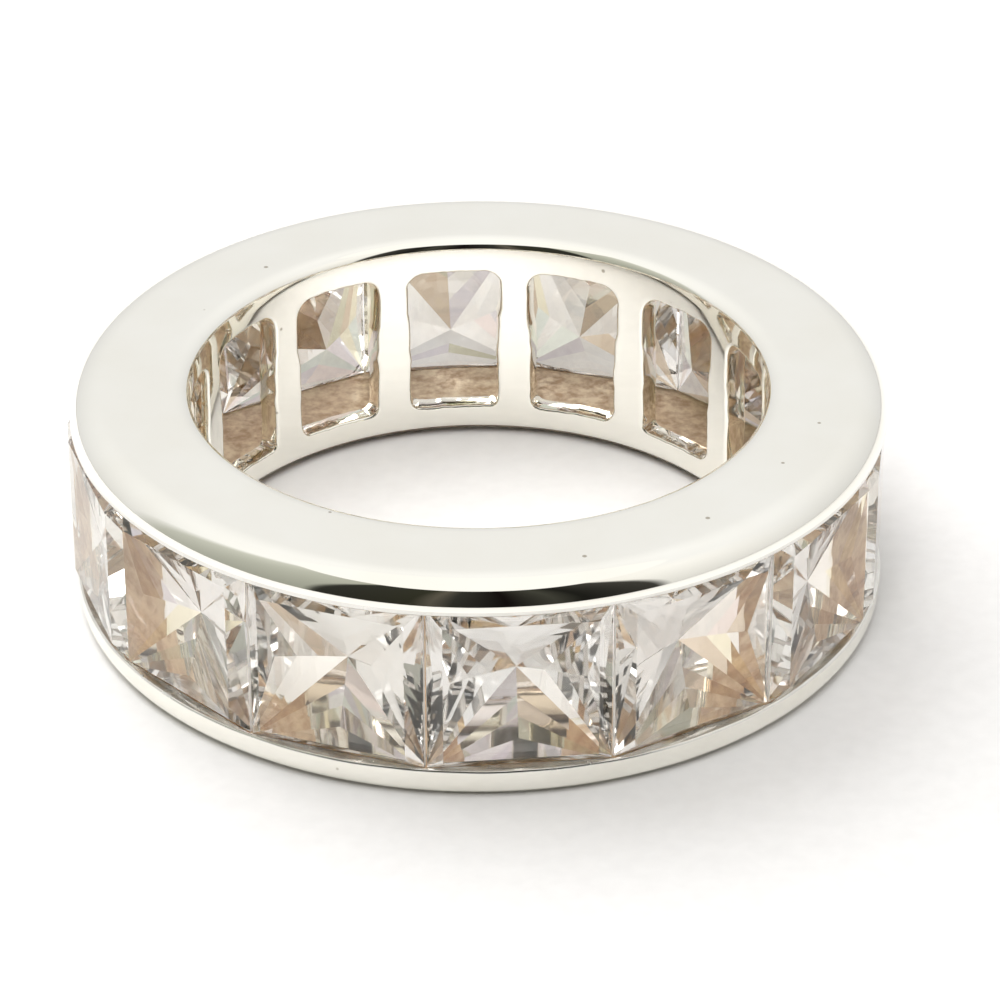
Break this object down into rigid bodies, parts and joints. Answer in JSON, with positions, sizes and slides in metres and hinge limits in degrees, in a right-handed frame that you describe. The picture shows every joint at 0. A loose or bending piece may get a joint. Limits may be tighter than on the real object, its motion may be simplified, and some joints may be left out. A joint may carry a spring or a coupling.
{
  "type": "crystal band ring",
  "caption": "Finger ring with square princess-cut crystals channel-set all the way round between two polished rails.",
  "frame": {"origin": "on the ring's axis, in the plane of the lower rail's flat face, on which the ring lies", "axes": "+Z is the ring's axis, up through the finger hole; +Y is away from the front seam between stones 1 and 14"},
  "size_m": [0.0232, 0.0234, 0.0067],
  "materials": {
    "silver": "polished silver",
    "crystal": "cut and polished, colourless"
  },
  "bodies": {
    "root": {"band": "silver", "stone_01": "crystal", "stone_02": "crystal", "stone_03": "crystal", "stone_04": "crystal", "stone_05": "crystal", "stone_06": "crystal", "stone_07": "crystal", "stone_08": "crystal", "stone_09": "crystal", "stone_10": "crystal", "stone_11": "crystal", "stone_12": "crystal", "stone_13": "crystal", "stone_14": "crystal"}
  },
  "joints": []
}
